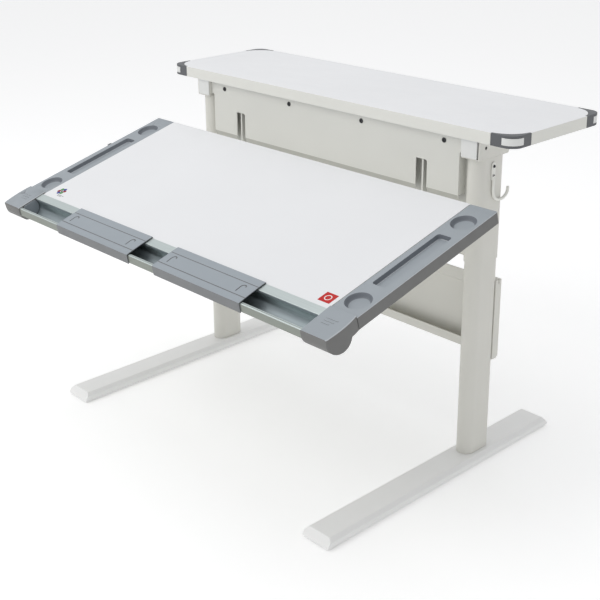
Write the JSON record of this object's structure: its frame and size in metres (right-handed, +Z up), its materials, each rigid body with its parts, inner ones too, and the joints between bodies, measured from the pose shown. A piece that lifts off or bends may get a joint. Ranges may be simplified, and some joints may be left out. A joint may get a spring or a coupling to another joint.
{
  "type": "tilting drawing desk",
  "caption": "Height-adjustable desk with a front-hinged tilting drawing board, pencil tray with sliding covers, side rails with cups and a fixed rear shelf.",
  "frame": {"origin": "on the floor, under the middle of the desk's bounding box", "axes": "+X to the user's right along the desk's width, +Y away from the user towards the shelf, +Z up"},
  "size_m": [1.0695, 0.7952, 0.749],
  "materials": {
    "frame_paint": "warm white powder coat",
    "panel_paint": "warm white powder coat on sheet",
    "white_laminate": "white laminate on board",
    "grey_moulding": "fine grained moulded plastic",
    "dark_guard": "dark moulded plastic",
    "pale_insert": "pale moulded plastic",
    "hook_paint": "white powder coat on bent rod",
    "tray_aluminium": "satin anodised extrusion",
    "black_plastic": "black plastic",
    "cylinder_paint": "black gas spring cylinder",
    "bright_steel": "zinc plated steel"
  },
  "bodies": {
    "base": {"foot_left": "frame_paint", "foot_right": "frame_paint", "glide_front_left": "black_plastic", "glide_front_right": "black_plastic", "glide_rear_left": "black_plastic", "glide_rear_right": "black_plastic", "lower_column_left": "frame_paint", "lower_column_right": "frame_paint", "column_guide_left": "black_plastic", "column_guide_right": "black_plastic", "lift_cylinder_left": "cylinder_paint", "lift_cylinder_right": "cylinder_paint", "cross_panel": "panel_paint", "cross_bracket_left": "panel_paint", "cross_bracket_right": "panel_paint"},
    "upper_frame": {"upper_sleeve_left": "frame_paint", "upper_sleeve_right": "frame_paint", "lift_rod_left": "bright_steel", "lift_rod_right": "bright_steel", "shelf_arm_left": "frame_paint", "shelf_arm_right": "frame_paint", "arm_cap_left": "pale_insert", "arm_cap_right": "pale_insert", "shelf_board": "white_laminate", "corner_guard_front_left": "dark_guard", "corner_guard_front_right": "dark_guard", "corner_guard_rear_left": "dark_guard", "corner_guard_rear_right": "dark_guard", "corner_insert_front_left": "pale_insert", "corner_insert_front_right": "pale_insert", "corner_insert_rear_left": "pale_insert", "corner_insert_rear_right": "pale_insert", "back_panel": "panel_paint", "rear_cover": "panel_paint", "panel_screw_1": "bright_steel", "panel_screw_2": "bright_steel", "panel_screw_3": "bright_steel", "panel_screw_4": "bright_steel", "bag_hook": "hook_paint", "crossbar": "frame_paint", "support_arm_left": "bright_steel", "support_arm_right": "bright_steel"},
    "board": {"drawing_board": "white_laminate", "side_rail_left": "grey_moulding", "side_rail_right": "grey_moulding", "front_cap_left": "grey_moulding", "front_cap_right": "grey_moulding", "pencil_tray": "tray_aluminium", "hinge_bracket_left": "bright_steel", "hinge_bracket_right": "bright_steel", "hinge_pin_left": "bright_steel", "hinge_pin_right": "bright_steel", "prop_channel_left": "bright_steel", "prop_channel_right": "bright_steel"},
    "prop": {"prop_leg_left": "bright_steel", "prop_leg_right": "bright_steel", "prop_shaft": "bright_steel"},
    "cover_left": {"tray_cover_left": "grey_moulding"},
    "cover_right": {"tray_cover_right": "grey_moulding"},
    "lever": {"tilt_lever": "dark_guard"}
  },
  "joints": [
    {"name": "height", "type": "slide", "parent": "base", "child": "upper_frame", "axis": [0, 0, 1], "range_m": [0, 0.15]},
    {"name": "board_tilt", "type": "hinge", "parent": "upper_frame", "child": "board", "pos_m": [0, -0.30736, 0.4795], "axis": [1, 0, 0], "range_deg": [-14.9, 36]},
    {"name": "prop_swing", "type": "hinge", "parent": "upper_frame", "child": "prop", "pos_m": [0, -0.15736, 0.4795], "axis": [1, 0, 0], "range_deg": [-29.8, 72]},
    {"name": "cover_slide_left", "type": "slide", "parent": "board", "child": "cover_left", "axis": [1, 0, 0], "range_m": [-0.15, 0.04]},
    {"name": "cover_slide_right", "type": "slide", "parent": "board", "child": "cover_right", "axis": [1, 0, 0], "range_m": [-0.04, 0.14]},
    {"name": "lever_pull", "type": "hinge", "parent": "board", "child": "lever", "pos_m": [-0.5034, -0.07365, 0.55514], "axis": [0, -0.9664, -0.2571], "range_deg": [0, 12], "stiffness_Nm_per_rad": 0.3, "springref_deg": -5.73}
  ],
  "couplings": [
    {"joint": "prop_swing", "follows": "board_tilt", "ratio": 2}
  ]
}
